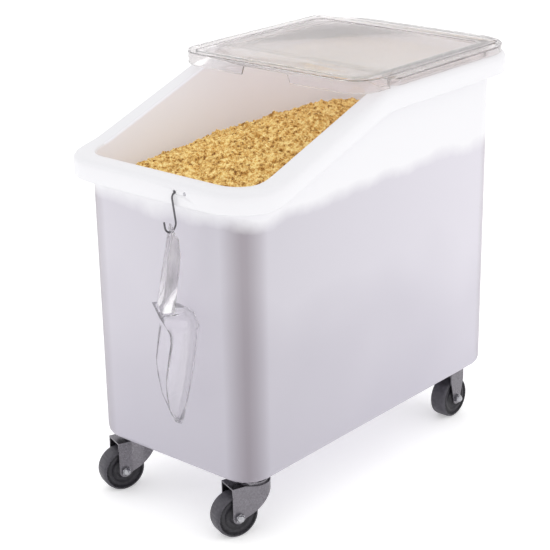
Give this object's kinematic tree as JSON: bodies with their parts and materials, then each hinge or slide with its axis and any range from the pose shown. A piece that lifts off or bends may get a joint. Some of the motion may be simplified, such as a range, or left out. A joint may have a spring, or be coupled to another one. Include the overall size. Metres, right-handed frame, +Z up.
{
  "type": "ingredient bin",
  "caption": "Wheeled ingredient bin with a slanted mouth and a rolled rim, a clear sliding lid over a rear lid, a clear scoop on a wire hook, and swivel and fixed casters.",
  "frame": {"origin": "on the floor under the middle of the bin", "axes": "+Z up, -Y towards the slanted front, +X to the right-hand side seen from the front"},
  "size_m": [0.419, 0.8015, 0.723],
  "materials": {
    "bin": "translucent white, smooth satin",
    "grain": "loose golden-brown grain",
    "lid": "clear, polished",
    "wire": "dark wire",
    "scoop": "clear, polished",
    "zinc_steel": "bright zinc plate",
    "bright_steel": "polished",
    "wheel_rubber": "dark grey, matt"
  },
  "bodies": {
    "bin": {"bin_body": "bin", "grain_fill": "grain", "front_left_plate": "zinc_steel", "front_left_screws": "zinc_steel", "front_left_kingpin": "zinc_steel", "front_left_bearing": "bright_steel", "rear_left_fork": "zinc_steel", "rear_left_screws": "zinc_steel", "rear_left_axle": "zinc_steel", "rear_left_nut": "bright_steel", "rear_left_sleeve": "zinc_steel", "front_right_plate": "zinc_steel", "front_right_screws": "zinc_steel", "front_right_kingpin": "zinc_steel", "front_right_bearing": "bright_steel", "rear_right_fork": "zinc_steel", "rear_right_screws": "zinc_steel", "rear_right_axle": "zinc_steel", "rear_right_nut": "bright_steel", "rear_right_sleeve": "zinc_steel"},
    "rear_cover": {"rear_lid": "lid"},
    "sliding_cover": {"sliding_lid": "lid"},
    "hook_wire": {"hook": "wire"},
    "hanging_scoop": {"scoop": "scoop"},
    "front_left_swivel": {"front_left_fork": "zinc_steel", "front_left_axle": "zinc_steel", "front_left_nut": "bright_steel", "front_left_sleeve": "zinc_steel"},
    "front_left_roller": {"front_left_wheel": "wheel_rubber"},
    "rear_left_roller": {"rear_left_wheel": "wheel_rubber"},
    "front_right_swivel": {"front_right_fork": "zinc_steel", "front_right_axle": "zinc_steel", "front_right_nut": "bright_steel", "front_right_sleeve": "zinc_steel"},
    "front_right_roller": {"front_right_wheel": "wheel_rubber"},
    "rear_right_roller": {"rear_right_wheel": "wheel_rubber"}
  },
  "joints": [
    {"name": "rear_lid_lift", "type": "slide", "parent": "bin", "child": "rear_cover", "axis": [0, 0, 1], "range_m": [0, 0.1]},
    {"name": "lid_slide", "type": "slide", "parent": "rear_cover", "child": "sliding_cover", "axis": [0, -1, 0], "range_m": [-0.0175, 0.28]},
    {"name": "hook_swing", "type": "hinge", "parent": "bin", "child": "hook_wire", "pos_m": [0.066, -0.372, 0.5821], "axis": [-1, 0, 0], "range_deg": [0, 50]},
    {"name": "scoop_swing", "type": "hinge", "parent": "hook_wire", "child": "hanging_scoop", "pos_m": [0.066, -0.38581, 0.52944], "axis": [0, 1, 0], "range_deg": [-20, 20]},
    {"name": "front_left_swivel_turn", "type": "hinge", "parent": "bin", "child": "front_left_swivel", "pos_m": [-0.131, -0.284, 0.0975], "axis": [0, 0, 1], "continuous": true},
    {"name": "front_left_wheel_spin", "type": "hinge", "parent": "front_left_swivel", "child": "front_left_roller", "pos_m": [-0.14361, -0.31772, 0.038], "axis": [0.9367, -0.3502, 0], "continuous": true},
    {"name": "rear_left_wheel_spin", "type": "hinge", "parent": "bin", "child": "rear_left_roller", "pos_m": [-0.131, 0.275, 0.038], "axis": [1, 0, 0], "continuous": true},
    {"name": "front_right_swivel_turn", "type": "hinge", "parent": "bin", "child": "front_right_swivel", "pos_m": [0.131, -0.284, 0.0975], "axis": [0, 0, 1], "continuous": true},
    {"name": "front_right_wheel_spin", "type": "hinge", "parent": "front_right_swivel", "child": "front_right_roller", "pos_m": [0.11839, -0.31772, 0.038], "axis": [0.9367, -0.3502, 0], "continuous": true},
    {"name": "rear_right_wheel_spin", "type": "hinge", "parent": "bin", "child": "rear_right_roller", "pos_m": [0.131, 0.275, 0.038], "axis": [1, 0, 0], "continuous": true}
  ]
}
